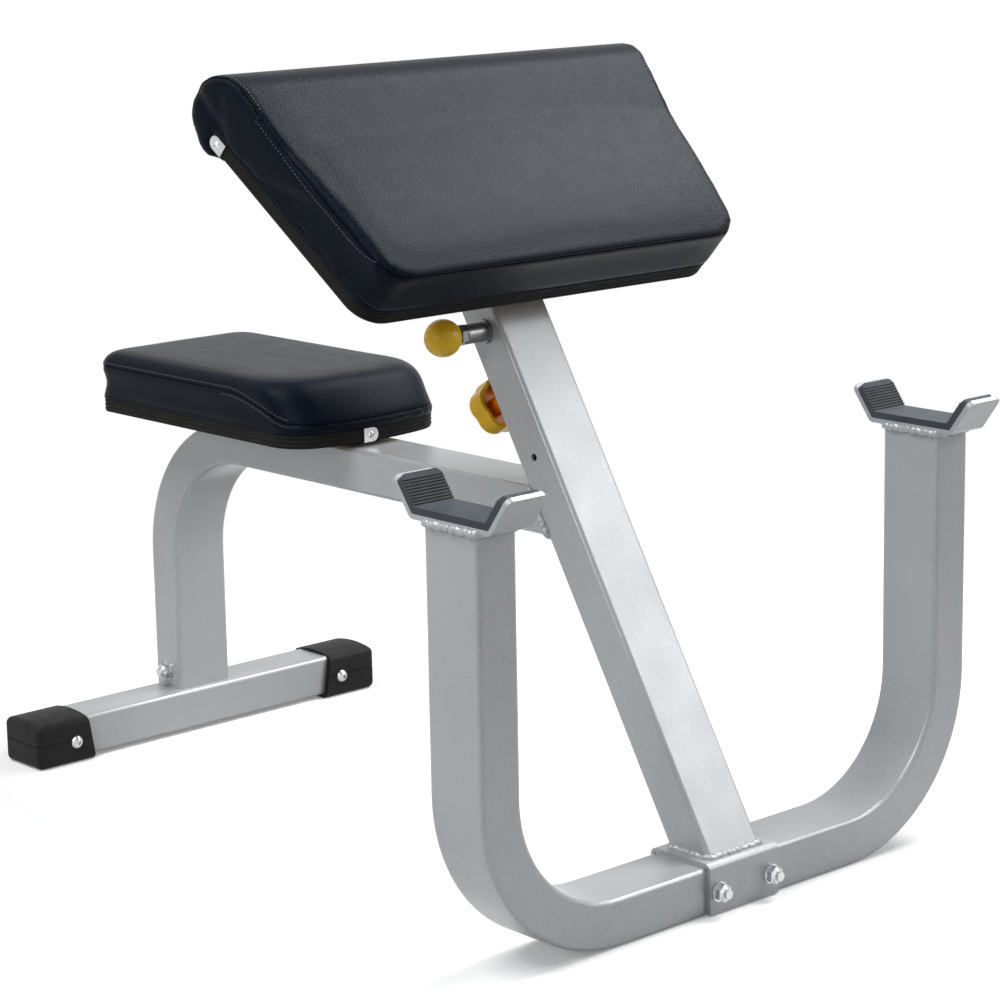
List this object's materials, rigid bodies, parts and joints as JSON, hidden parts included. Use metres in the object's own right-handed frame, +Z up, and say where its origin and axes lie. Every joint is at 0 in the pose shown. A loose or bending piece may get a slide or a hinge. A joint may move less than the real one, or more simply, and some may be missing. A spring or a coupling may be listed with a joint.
{
  "type": "preacher curl bench",
  "caption": "Free-standing preacher curl bench: padded seat on a bent tube, sloping arm pad on a leaning height-adjustable column, wide front frame with bar holders.",
  "frame": {"origin": "on the floor, at the middle of the bench's length and width", "axes": "+X the way the user faces, towards the bar holders; +Y to the user's left; +Z up"},
  "size_m": [1.0084, 0.7, 0.838],
  "materials": {
    "frame_coat": "satin silver-grey powder coat",
    "zinc_steel": "bright zinc",
    "chrome": "polished",
    "liner_rubber": "matte ribbed",
    "cap_rubber": "matte moulded",
    "edge_trim": "satin ridged",
    "black_plastic": "moulded",
    "yellow_plastic": "gloss",
    "board": "raw plywood",
    "upholstery": "black grained vinyl over foam"
  },
  "bodies": {
    "frame": {"front_frame_tube": "frame_coat", "bar_holder_right": "frame_coat", "bar_holder_left": "frame_coat", "saddle_bracket": "frame_coat", "column_tube": "frame_coat", "seat_beam": "frame_coat", "rear_crossbar": "frame_coat", "rear_stub": "frame_coat", "clamp_boss": "frame_coat", "seat_mount_plate": "frame_coat", "saddle_bolts": "zinc_steel", "frame_washers": "zinc_steel", "frame_lock_nuts": "zinc_steel", "rear_post_bolt": "zinc_steel", "foot_cap_screws": "zinc_steel", "seat_bolts": "zinc_steel", "seat_tee_nuts": "zinc_steel", "pin_spring": "zinc_steel", "pin_barrel": "chrome", "pin_collar": "chrome", "seat_trim_clip": "chrome", "seat_clip_screw": "chrome", "holder_liner_right": "liner_rubber", "holder_liner_left": "liner_rubber", "foot_cap_right": "cap_rubber", "foot_cap_left": "cap_rubber", "seat_edge_trim": "edge_trim", "column_guide_sleeve": "black_plastic", "seat_board": "board", "seat_cushion": "upholstery"},
    "arm_pad": {"sliding_post": "chrome", "post_guide_plug": "black_plastic", "pad_mount_plate": "frame_coat", "pad_bolts": "zinc_steel", "pad_tee_nuts": "zinc_steel", "pad_board": "board", "pad_edge_trim": "edge_trim", "pad_trim_clips": "chrome", "pad_clip_screws": "chrome", "pad_cushion": "upholstery"},
    "pull_pin": {"pin_plunger": "chrome", "ball_knob": "yellow_plastic"},
    "clamp_slug": {"clamp_tip": "black_plastic"},
    "clamp_knob": {"star_knob": "yellow_plastic", "clamp_screw": "zinc_steel"}
  },
  "joints": [
    {"name": "arm_pad_height", "type": "slide", "parent": "frame", "child": "arm_pad", "axis": [-0.5075, 0, 0.8616], "range_m": [0, 0.18]},
    {"name": "pin_pull", "type": "slide", "parent": "frame", "child": "pull_pin", "axis": [0, -1, 0], "range_m": [0, 0.012], "stiffness_N_per_m": 600, "springref_m": -0.012, "deforming": ["pin_spring"]},
    {"name": "clamp_travel", "type": "slide", "parent": "frame", "child": "clamp_slug", "axis": [-0.8616, 0, -0.5075], "range_m": [0, 0.003]},
    {"name": "clamp_turn", "type": "hinge", "parent": "clamp_slug", "child": "clamp_knob", "pos_m": [0.1363, 0, 0.49119], "axis": [-0.8616, 0, -0.5075], "range_deg": [0, 725]}
  ],
  "couplings": [
    {"joint": "clamp_turn", "follows": "clamp_travel", "rad_per_m": 4188.8}
  ]
}
